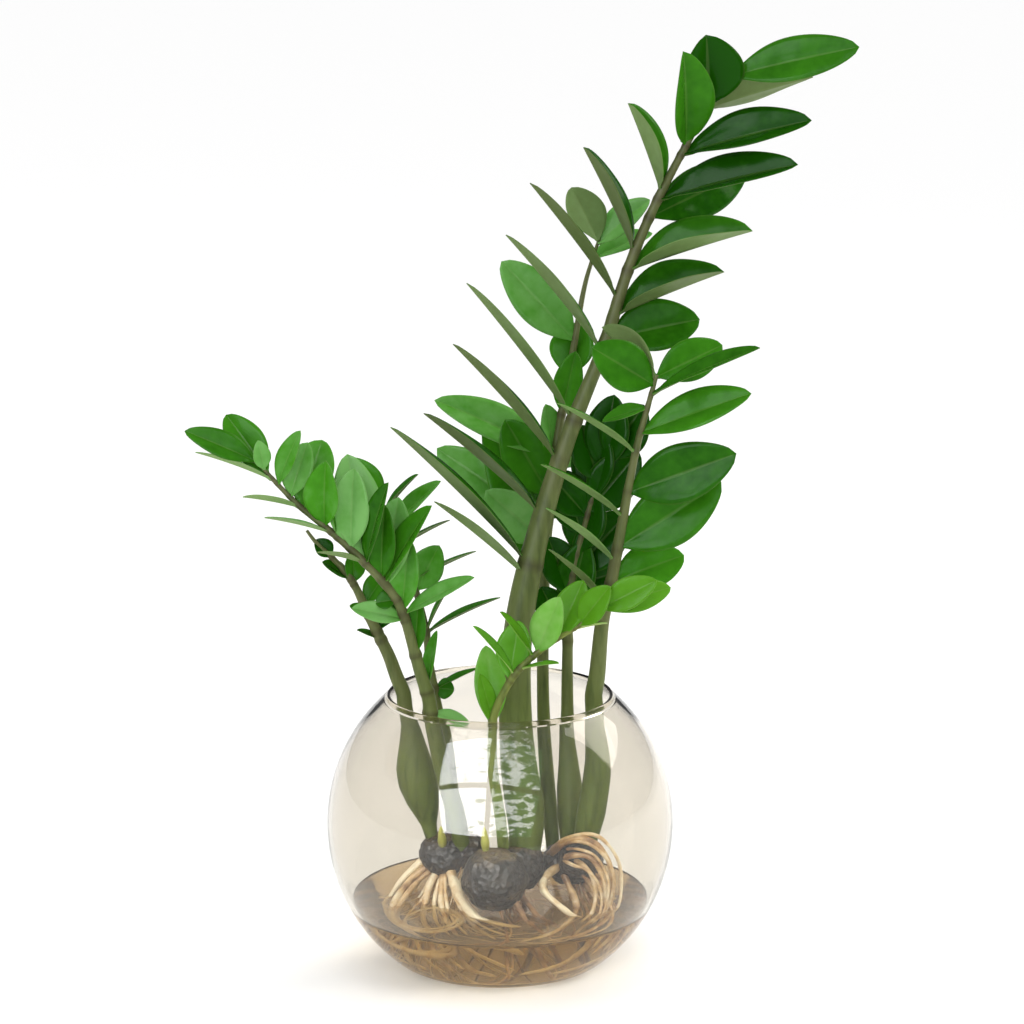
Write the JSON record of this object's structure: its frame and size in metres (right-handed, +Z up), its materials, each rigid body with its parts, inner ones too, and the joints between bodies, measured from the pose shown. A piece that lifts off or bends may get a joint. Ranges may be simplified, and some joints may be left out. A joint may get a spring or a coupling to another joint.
{
  "type": "zz plant in a glass ball bowl of water",
  "caption": "ZZ plant growing in water: fronds of glossy pointed leaflets on tapering stems, dark rhizomes with pale roots, and a clear glass ball bowl.",
  "frame": {"origin": "centre of the glass bowl's flat base", "axes": "+Z up the bowl's axis; -Y towards the side the plant is seen from; +X towards the side the tall frond leans to"},
  "size_m": [0.374, 0.1996, 0.5317],
  "materials": {
    "clear_glass": "polished",
    "water": "gloss",
    "leaflet": "gloss",
    "young_leaflet": "gloss",
    "stem": "satin",
    "rhizome": "matte",
    "bud": "satin"
  },
  "bodies": {
    "root": {"bowl": "clear_glass", "inner_frond": "leaflet", "left_bud": "bud", "left_frond": "leaflet", "left_rhizome": "rhizome", "middle_bud": "bud", "middle_rhizome": "rhizome", "outer_frond": "leaflet", "rear_frond": "leaflet", "rear_left_frond": "leaflet", "right_leaflet_01": "leaflet", "right_leaflet_02": "leaflet", "right_leaflet_03": "leaflet", "right_leaflet_04": "leaflet", "right_leaflet_05": "leaflet", "right_leaflet_06": "leaflet", "right_leaflet_07": "leaflet", "right_leaflet_08": "leaflet", "right_leaflet_09": "leaflet", "right_leaflet_10": "leaflet", "right_leaflet_11": "leaflet", "right_leaflet_12": "leaflet", "right_leaflet_13": "leaflet", "right_rhizome": "rhizome", "right_stem": "stem", "tall_leaflet_01": "leaflet", "tall_leaflet_02": "leaflet", "tall_leaflet_03": "leaflet", "tall_leaflet_04": "leaflet", "tall_leaflet_05": "leaflet", "tall_leaflet_06": "leaflet", "tall_leaflet_07": "leaflet", "tall_leaflet_08": "leaflet", "tall_leaflet_09": "leaflet", "tall_leaflet_10": "leaflet", "tall_leaflet_11": "leaflet", "tall_leaflet_12": "leaflet", "tall_leaflet_13": "leaflet", "tall_leaflet_14": "leaflet", "tall_leaflet_15": "leaflet", "tall_leaflet_16": "leaflet", "tall_leaflet_17": "leaflet", "tall_leaflet_18": "leaflet", "tall_leaflet_19": "leaflet", "tall_stem": "stem", "water": "water", "young_leaflet_01": "young_leaflet", "young_leaflet_02": "young_leaflet", "young_leaflet_03": "young_leaflet", "young_leaflet_04": "young_leaflet", "young_leaflet_05": "young_leaflet", "young_leaflet_06": "young_leaflet", "young_leaflet_07": "young_leaflet", "young_leaflet_08": "young_leaflet", "young_leaflet_09": "young_leaflet", "young_leaflet_10": "young_leaflet", "young_leaflet_11": "young_leaflet", "young_leaflet_12": "young_leaflet", "young_stem": "stem"}
  },
  "joints": []
}
